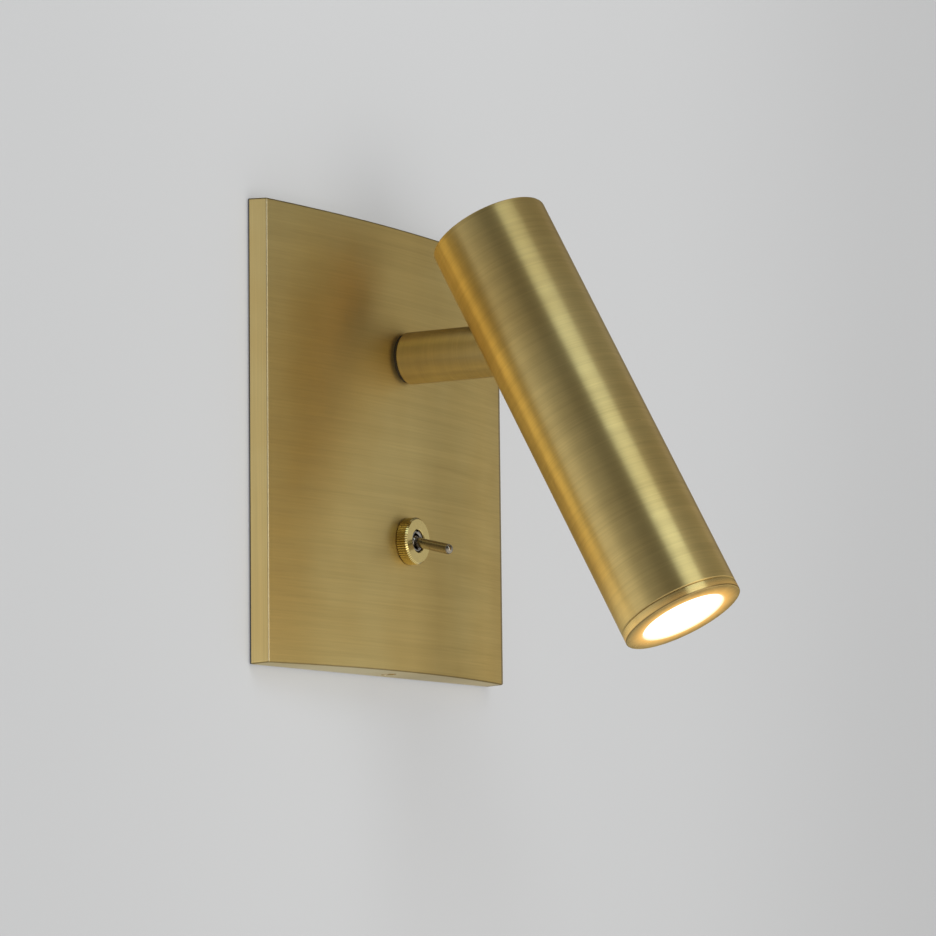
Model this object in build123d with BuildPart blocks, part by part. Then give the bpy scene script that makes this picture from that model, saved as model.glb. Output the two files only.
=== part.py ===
from build123d import *
import math
import os

os.makedirs("parts", exist_ok=True)

# Driving sizes in millimetres and degrees
plate_side = 120.0
plate_edge_depth = 5.5
plate_bow = 5.5
plate_draft = 3.1
plate_wall = 1.6
plate_edge_round = 0.5
gasket_thickness = 0.4
gasket_inset = 0.1
axis_offset = 24.7
arm_diameter = 14.1
arm_root_round = 0.4
pivot_reach = 54.15
head_diameter = 32.4
head_above_pivot = 36.55
head_below_pivot = 83.5
head_wall = 1.8
head_end_wall = 2.5
head_end_round = 0.4
head_rest_tilt = 27.9
head_most_tilt = 45.0
bezel_length = 2.5
bezel_round = 0.3
lens_opening = 22.0
lens_thickness = 2.0
nut_diameter = 12.6
nut_thickness = 3.45
nut_teeth = 60
bushing_diameter = 6.0
lever_length = 12.5
lever_diameter = 2.8
lever_tilt = 14.1
sheet = 1.2
fixing_spacing = 60.3
fixing_slot_width = 4.6
fixing_slot_length = 12.0
cable_hole_diameter = 7.2

# Shared clearances
face_gap = 0.05
running_gap = 0.05
slip_gap = 0.1
swing_gap = 0.3
room_gap = 0.5
cut_past = 1.0

# Places and shapes that follow from the sizes above
half_side = plate_side / 2
front_depth = plate_edge_depth + plate_bow
bow_radius = (half_side**2 + plate_bow**2) / (2 * plate_bow)
plate_flare = (plate_edge_depth - gasket_thickness) * math.tan(math.radians(plate_draft))
back_half = half_side + plate_flare
cavity_half = half_side - plate_wall
arm_radius = arm_diameter / 2
head_radius = head_diameter / 2
head_bore = head_radius - head_wall


def bow_depth(across, inset=0.0):
    # depth of the bowed front, or of a face that lies inset behind it, at a distance from the middle
    return math.sqrt((bow_radius - inset) ** 2 - across**2) - (bow_radius - front_depth)


def cavity_depth(across):
    # depth of the inside of the front wall
    return bow_depth(across, plate_wall)


# Working planes: facing looks into the room, profile holds depth and height
facing = Plane(origin=(0, 0, 0), x_dir=(1, 0, 0), z_dir=(0, -1, 0))
profile = Plane(origin=(0, 0, 0), x_dir=(0, -1, 0), z_dir=(-1, 0, 0))
tilt_angle = math.radians(head_rest_tilt)
pivot = Vector(0, -pivot_reach, axis_offset)
head_up = Vector(0, math.sin(tilt_angle), math.cos(tilt_angle))
head_rear = Vector(0, math.cos(tilt_angle), -math.sin(tilt_angle))
head_plane = Plane(origin=pivot, x_dir=(1, 0, 0), z_dir=head_up)
head_section = Plane(origin=pivot, x_dir=(1, 0, 0), z_dir=head_rear * -1)
head_back = Plane(origin=pivot, x_dir=(-1, 0, 0), z_dir=head_rear)
head_axis = Axis(pivot, head_up)
pivot_side = Plane(origin=pivot, x_dir=(0, -1, 0), z_dir=(1, 0, 0))

# Swivel stack, as depths from the wall of the room
bush_flange = 1.1
bush_wall = 1.0
bush_inset = 0.6
bush_flange_radius = arm_radius - bush_inset
arm_shoulder = 2.0
spigot_radius = arm_radius - arm_shoulder
seat_cut = 0.2
bush_seat = front_depth - seat_cut
bush_radius = spigot_radius + running_gap + bush_wall
swivel_boss_wall = 2.0
swivel_boss_radius = bush_radius + swivel_boss_wall
swivel_boss_height = 0.8
swivel_boss_depth = cavity_depth(0) - swivel_boss_height
arm_root = bush_seat + bush_flange + running_gap
wave_thickness = 0.7
stop_thickness = 0.8
swivel_nut_thickness = 2.2
wave_front = swivel_boss_depth - face_gap
stop_front = wave_front - wave_thickness - face_gap
swivel_nut_front = stop_front - stop_thickness - face_gap
spigot_past_nut = 0.1
spigot_end = swivel_nut_front - swivel_nut_thickness - spigot_past_nut
spigot_flat_cut = 0.8
spigot_flat = spigot_radius - spigot_flat_cut
swivel_nut_wall = 2.6
swivel_nut_radius = spigot_radius + swivel_nut_wall
stop_tab_width = 2.4
stop_post_radius = 1.2
stop_post_gap = 1.2
stop_post_place = swivel_nut_radius + stop_post_radius + stop_post_gap
stop_tab_reach = stop_post_place + stop_post_radius

# Wall bracket and what it carries
bracket_side_margin = 14.0
bracket_end_margin = 10.0
bracket_width = plate_side - 2 * bracket_side_margin
bracket_height = plate_side - 2 * bracket_end_margin
bracket_corner = 4.0
opening_margin = 2.5
lead_opening_width = 2 * swivel_nut_radius + 2 * opening_margin
lead_opening_height = 2 * stop_tab_reach
hook_width = 12.0
hook_margin = 1.0
hook_place = plate_side / 4
lip_setback = 0.3
lip_depth = gasket_thickness + lip_setback
lip_thickness = 1.1
lip_drop = 2.4
tab_width = 16.0
tab_front_gap = 2.4
tab_reach = front_depth - plate_wall - tab_front_gap
tab_gap = 3.8
grub_radius = 2.0
grub_length = 6.8
grub_recess = 0.9
grub_depth = 4.5
grub_boss_width = 10.0
grub_boss_height = 2.0
grub_boss_depth = 5.8

# Driver between the arm and the switch
driver_width = 44.0
driver_height = 26.0
driver_skin = 0.9
driver_front = cavity_depth(driver_width / 2) - room_gap
driver_ear = 7.0
driver_ear_thickness = 1.5
driver_ear_inset = 2.0
driver_ear_place = driver_width / 2 - driver_ear / 2 - driver_ear_inset
driver_ear_rise = driver_height / 2 + driver_ear / 2
small_screw_radius = 1.5
small_head_radius = 2.6
small_head_height = 1.8
board_thickness = 1.0
board_lift = 1.0
driver_post_radius = 1.2
driver_post_inset = 2.5

# Terminal block, earth screw and cable grommet in the lower part of the plate
terminal_pitch = 8.0
terminal_poles = 3
terminal_height = 12.0
terminal_share = 0.21
terminal_end_margin = 1.0
terminal_place_x = plate_side * terminal_share
terminal_place_z = -bracket_height / 2 + terminal_height / 2 + terminal_end_margin
terminal_edge = terminal_place_x + terminal_pitch * terminal_poles / 2
terminal_front = cavity_depth(terminal_edge) - room_gap
terminal_screw_radius = 1.6
terminal_screw_sink = 0.45
terminal_wire_radius = 1.2
terminal_entry = terminal_height / 3
wire_radius = 0.8
wire_depth = sheet + wire_radius + room_gap
screw_slot = 0.6
cross_share = 1.3
earth_screw_radius = 2.0
earth_head_radius = 3.6
earth_head_height = 2.2
earth_washer = 0.8
earth_shift_x = 1.5
earth_shift_z = 4.0
earth_place_x = terminal_edge + earth_shift_x
earth_place_z = -axis_offset + earth_shift_z
grommet_wall = 2.2
grommet_lip = 1.5
grommet_hole_radius = cable_hole_diameter / 2 + grommet_wall
grommet_flange_radius = grommet_hole_radius + grommet_lip
grommet_flange = 1.4
grommet_place_x = -terminal_place_x
grommet_shift = 2.0
grommet_place_z = terminal_place_z + grommet_shift

# Toggle switch, as depths from the wall of the room
bushing_radius = bushing_diameter / 2
nut_radius = nut_diameter / 2
nut_rim_chamfer = 0.5
nut_bore_chamfer = 0.2
nut_back_chamfer = 0.4
nut_seat = front_depth - seat_cut
nut_front = nut_seat + nut_thickness
switch_boss_height = 0.2
switch_boss_depth = cavity_depth(0) - switch_boss_height
switch_boss_radius = nut_radius + slip_gap
lock_washer = 0.6
lock_washer_radius = nut_radius - lock_washer
frame_front = switch_boss_depth - lock_washer - 2 * face_gap
frame_thickness = 0.6
switch_width = 7.0
switch_length = 12.8
switch_back = 2.2
switch_body_front = frame_front - frame_thickness
bushing_recess = 0.4
bushing_wall = 0.9
bushing_front = nut_front - bushing_recess
bushing_bore = bushing_radius - bushing_wall
bushing_chamfer = 0.3
bushing_key_width = 1.0
bushing_key_depth = 0.5
lever_pivot_inset = 1.75
lever_pivot_depth = nut_front - lever_pivot_inset
lever_ball = bushing_bore - swing_gap
lever_pin_radius = 0.5
pin_gap = 0.02
lever_neck = 1.35
lever_tail = 3.2
lever_tail_radius = 0.7
lever_pivot = Vector(0, -lever_pivot_depth, -axis_offset)
lever_angle = math.radians(lever_tilt)
lever_way = Vector(0, -math.cos(lever_angle), -math.sin(lever_angle))
lever_plane = Plane(origin=lever_pivot, x_dir=lever_way, z_dir=(-1, 0, 0))
lever_side = Plane(origin=lever_pivot, x_dir=(0, -1, 0), z_dir=(1, 0, 0))
lug_width = 2.0
lug_thickness = 0.6
lug_pitch = 4.4
lug_end = 0.5

# Tilt joint and the slot that lets the arm into the head tube
slot_half = arm_radius + swing_gap
most_tilt = math.radians(head_most_tilt)
slot_top = head_radius * math.tan(most_tilt) + arm_radius / math.cos(most_tilt) + room_gap
slot_rise = slot_top - slot_half
knuckle_flat = 1.0
knuckle_half = arm_radius - knuckle_flat
washer_outer = 4.8
washer_margin = 1.0
knuckle_reach = washer_outer + washer_margin
lead_radius = 1.5
lead_room = 0.7
lead_bore = lead_radius + lead_room
pivot_shoulder = 2.0
pivot_head_radius = 3.4
pivot_head_height = 1.8
pivot_head_inset = 3.2
pivot_inner_wall = 0.9
pivot_head_seat = head_bore - pivot_head_inset
pivot_inner = lead_bore + pivot_inner_wall
block_radius = head_bore - face_gap
block_top_wall = 4.0
block_end_gap = 0.6
block_land = 4.7
block_foot = 3.6
block_above = arm_radius + block_top_wall
block_floor = arm_radius + block_end_gap
block_web = arm_radius + block_end_gap
block_screw_first = slot_half + block_land
block_screw_pitch = 6.4
block_below = block_screw_first + block_screw_pitch + block_foot
block_screw_radius = 1.5
block_head_height = 1.2
block_head_radius = block_screw_radius + block_head_height
block_screw_reach = 7.0
block_head_sink = 0.35
block_head_face = head_radius - block_head_sink

# Lamp stack, as distances below the pivot along the head
bezel_lip = 0.9
lens_wall = 1.2
lens_radius = head_bore - lens_wall
bezel_spigot = 6.5
lens_front = head_below_pivot - bezel_lip
lens_back = lens_front - lens_thickness
seal_thickness = 0.5
mouth_margin = 0.3
mouth_radius = lens_opening / 2 + mouth_margin
seal_inner = mouth_radius + mouth_margin
reflector_front = lens_back - seal_thickness
reflector_flange = 0.7
reflector_wall = 0.8
reflector_depth = 14.4
reflector_root = reflector_front - reflector_depth
emitter_radius = 4.8
emitter_thickness = 1.0
collar_gap = 0.4
collar_inner = emitter_radius + collar_gap
collar_length = 1.5
light_board_thickness = 1.6
light_board_margin = 3.2
light_board_radius = head_bore - light_board_margin
sink_length = 20.0
sink_front = reflector_root - light_board_thickness
sink_back = sink_front - sink_length
sink_radius = head_bore - slip_gap
fin_groove_depth = 3.4
fin_groove_width = 2.0
fin_pitch = 4.0
fin_grooves = 4
tie_radius = 1.5
tie_inset = 6.2
tie_place = head_bore - tie_inset
tie_grip = 8.0
board_head_gap = 0.5
board_screw_radius = 1.0
board_head_radius = 1.9
board_screw_place = collar_inner + reflector_wall + board_head_gap + board_head_radius
board_head_height = 1.2
board_screw_reach = 5.0

# Face plate: bowed front, hollow behind, with seats for the arm and the switch
with BuildPart() as face_plate:
    with BuildSketch(facing.offset(gasket_thickness)):
        Rectangle(2 * back_half, 2 * back_half)
    extrude(amount=front_depth, taper=plate_draft)
    bow_half = back_half + cut_past
    with BuildSketch(Plane.XY.offset(-bow_half)):
        with BuildLine():
            Polyline(
                (-bow_half, -bow_depth(bow_half)),
                (-bow_half, 0),
                (bow_half, 0),
                (bow_half, -bow_depth(bow_half)),
            )
            ThreePointArc(
                (bow_half, -bow_depth(bow_half)),
                (0, -front_depth),
                (-bow_half, -bow_depth(bow_half)),
            )
        make_face()
    extrude(amount=2 * bow_half, mode=Mode.INTERSECT)
    outer_edges = face_plate.edges().filter_by(lambda e: e.center().Y < -gasket_thickness - face_gap)
    fillet(outer_edges, radius=plate_edge_round)
    cavity_edge_depth = cavity_depth(cavity_half)
    with BuildSketch(Plane.XY.offset(-cavity_half)):
        with BuildLine():
            Polyline(
                (-cavity_half, -cavity_edge_depth),
                (-cavity_half, 0),
                (cavity_half, 0),
                (cavity_half, -cavity_edge_depth),
            )
            ThreePointArc(
                (cavity_half, -cavity_edge_depth),
                (0, -cavity_depth(0)),
                (-cavity_half, -cavity_edge_depth),
            )
        make_face()
    extrude(amount=2 * cavity_half, mode=Mode.SUBTRACT)
    boss_root = cavity_depth(0) + plate_wall / 4
    with BuildSketch(facing.offset(swivel_boss_depth)):
        with Locations((0, axis_offset)):
            Circle(swivel_boss_radius)
    extrude(amount=boss_root - swivel_boss_depth)
    stop_post_back = stop_front - stop_thickness
    with BuildSketch(facing.offset(stop_post_back)):
        with Locations((0, axis_offset - stop_post_place)):
            Circle(stop_post_radius)
    extrude(amount=boss_root - stop_post_back)
    with BuildSketch(facing.offset(switch_boss_depth)):
        with Locations((0, -axis_offset)):
            Circle(switch_boss_radius)
    extrude(amount=boss_root - switch_boss_depth)
    with BuildSketch(facing.offset(lip_depth)):
        with Locations((hook_place, cavity_half - lip_drop / 2), (-hook_place, cavity_half - lip_drop / 2)):
            Rectangle(hook_width + 2 * hook_margin, lip_drop + plate_wall / 2)
    extrude(amount=lip_thickness)
    with BuildSketch(facing.offset(grub_depth - grub_boss_depth / 2)):
        with Locations((0, -cavity_half + grub_boss_height / 2)):
            Rectangle(grub_boss_width, grub_boss_height + plate_wall / 2)
    extrude(amount=grub_boss_depth)
    with BuildSketch(facing.offset(swivel_boss_depth)):
        with Locations((0, axis_offset)):
            Circle(bush_radius + face_gap)
        with Locations((0, -axis_offset)):
            Circle(bushing_radius + slip_gap)
    extrude(amount=plate_side, mode=Mode.SUBTRACT)
    with BuildSketch(facing.offset(bush_seat)):
        with Locations((0, axis_offset)):
            Circle(bush_flange_radius + slip_gap)
    extrude(amount=plate_bow, mode=Mode.SUBTRACT)
    with BuildSketch(facing.offset(nut_seat)):
        with Locations((0, -axis_offset)):
            Circle(nut_radius + slip_gap)
    extrude(amount=plate_bow, mode=Mode.SUBTRACT)
    with BuildSketch(Plane.XY.offset(-back_half)):
        with Locations((0, -grub_depth)):
            Circle(grub_radius + face_gap)
    extrude(amount=back_half - cavity_half + grub_boss_height + plate_wall, mode=Mode.SUBTRACT)
face_plate.part.label = "face_plate"
export_step(face_plate.part, "parts/face_plate.step")

# Gasket: thin dark rim between the plate and the wall
gasket_half = back_half - gasket_inset
with BuildPart() as edge_gasket:
    with BuildSketch(facing):
        Rectangle(2 * gasket_half, 2 * gasket_half)
        Rectangle(2 * cavity_half, 2 * cavity_half, mode=Mode.SUBTRACT)
    extrude(amount=gasket_thickness)
edge_gasket.part.label = "edge_gasket"
export_step(edge_gasket.part, "parts/edge_gasket.step")

# Wall bracket: flat steel sheet with hooks at the top and a tab for the grub screw below
hook_front = lip_depth + lip_thickness + slip_gap + sheet
hook_top = cavity_half - room_gap
tab_z = -cavity_half + grub_boss_height + plate_wall / 2 + tab_gap / 2
with BuildPart() as wall_bracket:
    with BuildSketch(facing):
        RectangleRounded(bracket_width, bracket_height, bracket_corner)
        with Locations((0, axis_offset)):
            Rectangle(lead_opening_width, lead_opening_height, mode=Mode.SUBTRACT)
        with Locations((0, -axis_offset)):
            opening_x = switch_width + 2 * opening_margin
            opening_z = switch_length + 2 * opening_margin
            Rectangle(opening_x, opening_z, mode=Mode.SUBTRACT)
        with Locations((fixing_spacing / 2, 0), (-fixing_spacing / 2, 0)):
            SlotOverall(fixing_slot_length, fixing_slot_width, mode=Mode.SUBTRACT)
        with Locations((grommet_place_x, grommet_place_z)):
            Circle(grommet_hole_radius, mode=Mode.SUBTRACT)
        with Locations((terminal_place_x, terminal_place_z)):
            Circle(small_screw_radius, mode=Mode.SUBTRACT)
        with Locations((earth_place_x, earth_place_z)):
            Circle(earth_screw_radius, mode=Mode.SUBTRACT)
        with Locations((driver_ear_place, -driver_ear_rise), (-driver_ear_place, driver_ear_rise)):
            Circle(small_screw_radius, mode=Mode.SUBTRACT)
    extrude(amount=sheet)
    riser_z = bracket_height / 2 - sheet / 2
    with BuildSketch(facing):
        with Locations((hook_place, riser_z), (-hook_place, riser_z)):
            Rectangle(hook_width, sheet)
    extrude(amount=hook_front)
    hook_foot = bracket_height / 2 - sheet
    with BuildSketch(facing.offset(hook_front - sheet)):
        with Locations((hook_place, (hook_top + hook_foot) / 2), (-hook_place, (hook_top + hook_foot) / 2)):
            Rectangle(hook_width, hook_top - hook_foot)
    extrude(amount=sheet)
    tab_bottom = tab_z - sheet / 2
    tab_top = -bracket_height / 2 + sheet
    with BuildSketch(facing):
        with Locations((0, (tab_bottom + tab_top) / 2)):
            Rectangle(tab_width, tab_top - tab_bottom)
    extrude(amount=sheet)
    with BuildSketch(facing):
        with Locations((0, tab_z)):
            Rectangle(tab_width, sheet)
    extrude(amount=tab_reach)
    with BuildSketch(Plane.XY.offset(tab_z - sheet)):
        with Locations((0, -grub_depth)):
            Circle(grub_radius + slip_gap)
    extrude(amount=2 * sheet, mode=Mode.SUBTRACT)
wall_bracket.part.label = "wall_bracket"
export_step(wall_bracket.part, "parts/wall_bracket.step")

# Grub screw: holds the plate on the bracket's tab, socket to the underside
grub_bottom = -half_side + grub_recess
with BuildPart() as grub_screw:
    with BuildSketch(Plane.XY.offset(grub_bottom)):
        with Locations((0, -grub_depth)):
            Circle(grub_radius)
    extrude(amount=grub_length)
    chamfer(grub_screw.edges().group_by(Axis.Z)[-1], length=grub_radius / 4)
    with BuildSketch(Plane.XY.offset(grub_bottom)):
        with Locations((0, -grub_depth)):
            RegularPolygon(grub_radius / 2, 6)
    extrude(amount=grub_length / 3, mode=Mode.SUBTRACT)
grub_screw.part.label = "grub_screw"
export_step(grub_screw.part, "parts/grub_screw.step")

# Cable grommet in the bracket
with BuildPart() as cable_grommet:
    with BuildSketch(facing):
        with Locations((grommet_place_x, grommet_place_z)):
            Circle(grommet_hole_radius - face_gap)
    extrude(amount=sheet + grommet_flange)
    with BuildSketch(facing.offset(sheet)):
        with Locations((grommet_place_x, grommet_place_z)):
            Circle(grommet_flange_radius)
    extrude(amount=grommet_flange)
    with BuildSketch(facing):
        with Locations((grommet_place_x, grommet_place_z)):
            Circle(cable_hole_diameter / 2)
    extrude(amount=sheet + grommet_flange, mode=Mode.SUBTRACT)
cable_grommet.part.label = "cable_grommet"
export_step(cable_grommet.part, "parts/cable_grommet.step")

# Earth screw with its washer face on the bracket
with BuildPart() as earth_screw:
    with BuildSketch(facing):
        with Locations((earth_place_x, earth_place_z)):
            Circle(earth_screw_radius - face_gap)
    extrude(amount=sheet + earth_washer)
    with BuildSketch(facing.offset(sheet)):
        with Locations((earth_place_x, earth_place_z)):
            Circle(earth_head_radius)
    extrude(amount=earth_washer)
    earth_head_top = sheet + earth_washer + earth_head_height
    with BuildSketch(facing.offset(sheet + earth_washer)):
        with Locations((earth_place_x, earth_place_z)):
            Circle(earth_head_radius - earth_washer)
    extrude(amount=earth_head_height)
    with BuildSketch(facing.offset(earth_head_top - earth_head_height / 2)):
        with Locations((earth_place_x, earth_place_z)):
            Rectangle(2 * earth_head_radius, earth_washer)
            Rectangle(earth_washer, 2 * earth_head_radius)
    extrude(amount=earth_head_height, mode=Mode.SUBTRACT)
earth_screw.part.label = "earth_screw"
export_step(earth_screw.part, "parts/earth_screw.step")

# Terminal block with wire holes below and above and a snap peg in the bracket
terminal_width = terminal_pitch * terminal_poles
screw_row = terminal_height / 4
screw_depth = (terminal_front - sheet) / 2
with BuildPart() as terminal_block:
    with BuildSketch(facing.offset(sheet)):
        with Locations((terminal_place_x, terminal_place_z)):
            Rectangle(terminal_width, terminal_height)
    extrude(amount=terminal_front - sheet)
    with BuildSketch(facing):
        with Locations((terminal_place_x, terminal_place_z)):
            Circle(small_screw_radius - face_gap)
    extrude(amount=sheet + face_gap)
    with BuildSketch(facing.offset(terminal_front - screw_depth)):
        with Locations((terminal_place_x, terminal_place_z)):
            with GridLocations(terminal_pitch, 2 * screw_row, terminal_poles, 2):
                Circle(terminal_screw_radius + slip_gap)
    extrude(amount=screw_depth, mode=Mode.SUBTRACT)
    wire_plane = Plane.XY.offset(terminal_place_z - terminal_height / 2)
    with BuildSketch(wire_plane):
        with Locations((terminal_place_x, -sheet - terminal_wire_radius - room_gap)):
            with GridLocations(terminal_pitch, 0, terminal_poles, 1):
                Circle(terminal_wire_radius)
    extrude(amount=terminal_entry, mode=Mode.SUBTRACT)
    lead_plane = Plane.XY.offset(terminal_place_z + terminal_height / 2)
    with BuildSketch(lead_plane):
        with Locations((terminal_place_x, -wire_depth)):
            with GridLocations(terminal_pitch, 0, terminal_poles, 1):
                Circle(wire_radius + slip_gap)
    extrude(amount=-terminal_entry, mode=Mode.SUBTRACT)
terminal_block.part.label = "terminal_block"
export_step(terminal_block.part, "parts/terminal_block.step")

with BuildPart() as terminal_screws:
    with BuildSketch(facing.offset(terminal_front - screw_depth)):
        with Locations((terminal_place_x, terminal_place_z)):
            with GridLocations(terminal_pitch, 2 * screw_row, terminal_poles, 2):
                Circle(terminal_screw_radius)
    extrude(amount=screw_depth - terminal_screw_sink)
    with BuildSketch(facing.offset(terminal_front - 2 * terminal_screw_sink)):
        with Locations((terminal_place_x, terminal_place_z)):
            with GridLocations(terminal_pitch, 2 * screw_row, terminal_poles, 2):
                Rectangle(2 * terminal_screw_radius, screw_slot)
    extrude(amount=2 * terminal_screw_sink, mode=Mode.SUBTRACT)
terminal_screws.part.label = "terminal_screws"
export_step(terminal_screws.part, "parts/terminal_screws.step")

# Driver: case with two ears, lid, board and the parts on it
driver_inside_x = driver_width - 2 * driver_skin
driver_inside_z = driver_height - 2 * driver_skin
lid_back = driver_front - driver_skin
board_back = sheet + driver_skin + board_lift
board_front = board_back + board_thickness
post_spread_x = driver_inside_x - 2 * driver_post_inset
post_spread_z = driver_inside_z - 2 * driver_post_inset
with BuildPart() as driver_case:
    with BuildSketch(facing.offset(sheet)):
        Rectangle(driver_width, driver_height)
    extrude(amount=lid_back - sheet)
    with BuildSketch(facing.offset(sheet + driver_skin)):
        Rectangle(driver_inside_x, driver_inside_z)
    extrude(amount=driver_front, mode=Mode.SUBTRACT)
    with BuildSketch(facing.offset(sheet)):
        with GridLocations(post_spread_x, post_spread_z, 2, 2):
            Circle(driver_post_radius)
    extrude(amount=board_back - sheet)
    with BuildSketch(facing.offset(sheet)):
        with Locations((driver_ear_place, -driver_ear_rise), (-driver_ear_place, driver_ear_rise)):
            Rectangle(driver_ear, driver_ear)
            Circle(small_screw_radius + slip_gap, mode=Mode.SUBTRACT)
    extrude(amount=driver_ear_thickness)
driver_case.part.label = "driver_case"
export_step(driver_case.part, "parts/driver_case.step")

with BuildPart() as driver_lid:
    with BuildSketch(facing.offset(lid_back)):
        Rectangle(driver_width, driver_height)
    extrude(amount=driver_skin)
    lid_edges = driver_lid.faces().sort_by(Axis.Y)[0].edges()
    chamfer(lid_edges, length=driver_skin / 3)
driver_lid.part.label = "driver_lid"
export_step(driver_lid.part, "parts/driver_lid.step")

with BuildPart() as driver_board:
    with BuildSketch(facing.offset(board_back)):
        Rectangle(driver_inside_x - 2 * slip_gap, driver_inside_z - 2 * slip_gap)
    extrude(amount=board_thickness)
driver_board.part.label = "driver_board"
export_step(driver_board.part, "parts/driver_board.step")

transformer_height = lid_back - board_front - room_gap
with BuildPart() as driver_transformer:
    with BuildSketch(facing.offset(board_front)):
        with Locations((-driver_width / 6, 0)):
            Rectangle(driver_height / 2, driver_height / 2)
    extrude(amount=transformer_height)
    chamfer(driver_transformer.edges().filter_by(Axis.Y), length=driver_skin)
driver_transformer.part.label = "driver_transformer"
export_step(driver_transformer.part, "parts/driver_transformer.step")

capacitor_radius = transformer_height / 2
with BuildPart() as driver_capacitor:
    capacitor_plane = Plane(
        origin=(driver_width / 4, -board_front - capacitor_radius, -driver_height / 4),
        z_dir=(0, 0, 1),
    )
    with BuildSketch(capacitor_plane):
        Circle(capacitor_radius)
    extrude(amount=driver_height / 2)
    fillet(driver_capacitor.edges().filter_by(GeomType.CIRCLE), radius=capacitor_radius / 4)
driver_capacitor.part.label = "driver_capacitor"
export_step(driver_capacitor.part, "parts/driver_capacitor.step")

ear_front = sheet + driver_ear_thickness
with BuildPart() as driver_screws:
    with BuildSketch(facing):
        with Locations((driver_ear_place, -driver_ear_rise), (-driver_ear_place, driver_ear_rise)):
            Circle(small_screw_radius - face_gap)
    extrude(amount=ear_front + face_gap)
    with BuildSketch(facing.offset(ear_front)):
        with Locations((driver_ear_place, -driver_ear_rise), (-driver_ear_place, driver_ear_rise)):
            Circle(small_head_radius)
    extrude(amount=small_head_height)
    with BuildSketch(facing.offset(ear_front + small_head_height / 2)):
        with Locations((driver_ear_place, -driver_ear_rise), (-driver_ear_place, driver_ear_rise)):
            Rectangle(small_head_radius * cross_share, screw_slot)
            Rectangle(screw_slot, small_head_radius * cross_share)
    extrude(amount=small_head_height, mode=Mode.SUBTRACT)
driver_screws.part.label = "driver_screws"
export_step(driver_screws.part, "parts/driver_screws.step")

# Swivel: bush in the plate, arm, and the washers and nut behind the plate
with BuildPart() as swivel_bush:
    with BuildSketch(facing.offset(swivel_boss_depth)):
        with Locations((0, axis_offset)):
            Circle(bush_radius)
    extrude(amount=bush_seat - swivel_boss_depth)
    with BuildSketch(facing.offset(bush_seat)):
        with Locations((0, axis_offset)):
            Circle(bush_flange_radius)
    extrude(amount=bush_flange)
    with BuildSketch(facing.offset(swivel_boss_depth)):
        with Locations((0, axis_offset)):
            Circle(spigot_radius + running_gap)
    extrude(amount=plate_side, mode=Mode.SUBTRACT)
swivel_bush.part.label = "swivel_bush"
export_step(swivel_bush.part, "parts/swivel_bush.step")

lead_join = spigot_end + lead_radius
knuckle_start = pivot_reach - knuckle_reach
with BuildPart() as arm:
    with BuildSketch(facing.offset(arm_root)):
        with Locations((0, axis_offset)):
            Circle(arm_radius)
    extrude(amount=pivot_reach + arm_radius - arm_root)
    with BuildSketch(profile):
        with Locations(((arm_root + pivot_reach) / 2, axis_offset)):
            Rectangle(pivot_reach - arm_root, arm_diameter + cut_past)
        with Locations((pivot_reach, axis_offset)):
            Circle(arm_radius)
    extrude(amount=arm_diameter, both=True, mode=Mode.INTERSECT)
    fillet(arm.faces().sort_by(Axis.Y)[-1].edges(), radius=arm_root_round)
    with BuildSketch(facing.offset(spigot_end)):
        with Locations((0, axis_offset)):
            Circle(spigot_radius)
    extrude(amount=arm_root - spigot_end)
    with BuildSketch(facing.offset(spigot_end)):
        with Locations((0, axis_offset + spigot_flat + spigot_radius / 2)):
            Rectangle(arm_diameter, spigot_radius)
    extrude(amount=stop_front - spigot_end, mode=Mode.SUBTRACT)
    flat_cut = knuckle_flat + cut_past
    with BuildSketch(facing.offset(knuckle_start)):
        with Locations(
            (knuckle_half + flat_cut / 2, axis_offset),
            (-knuckle_half - flat_cut / 2, axis_offset),
        ):
            Rectangle(flat_cut, arm_diameter + cut_past)
    extrude(amount=2 * arm_radius, mode=Mode.SUBTRACT)
    with BuildSketch(facing.offset(spigot_end)):
        with Locations((0, axis_offset)):
            Circle(lead_bore)
    extrude(amount=pivot_reach + arm_radius, mode=Mode.SUBTRACT)
    with BuildSketch(facing.offset(pivot_reach - lead_bore)):
        with Locations((0, axis_offset - arm_radius / 2)):
            Rectangle(2 * lead_bore, arm_radius + cut_past)
    extrude(amount=2 * arm_radius, mode=Mode.SUBTRACT)
    with BuildSketch(pivot_side):
        Circle(pivot_shoulder + running_gap)
    extrude(amount=arm_diameter, both=True, mode=Mode.SUBTRACT)
arm.part.label = "arm"
export_step(arm.part, "parts/arm.step")

with BuildPart() as wave_washer:
    with BuildSketch(facing.offset(wave_front - wave_thickness)):
        with Locations((0, axis_offset)):
            Circle(swivel_nut_radius)
            Circle(spigot_radius + slip_gap, mode=Mode.SUBTRACT)
    extrude(amount=wave_thickness)
wave_washer.part.label = "wave_washer"
export_step(wave_washer.part, "parts/wave_washer.step")

with BuildPart() as stop_washer:
    with BuildSketch(facing.offset(stop_front - stop_thickness)):
        with Locations((0, axis_offset)):
            Circle(swivel_nut_radius)
        with Locations((0, axis_offset + stop_tab_reach / 2)):
            Rectangle(stop_tab_width, stop_tab_reach)
        with Locations((0, axis_offset)):
            Circle(spigot_radius + face_gap, mode=Mode.SUBTRACT)
        with Locations((0, axis_offset + (spigot_flat + swivel_nut_radius) / 2)):
            Rectangle(spigot_radius, swivel_nut_radius - spigot_flat - 2 * face_gap)
    extrude(amount=stop_thickness)
stop_washer.part.label = "stop_washer"
export_step(stop_washer.part, "parts/stop_washer.step")

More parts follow.
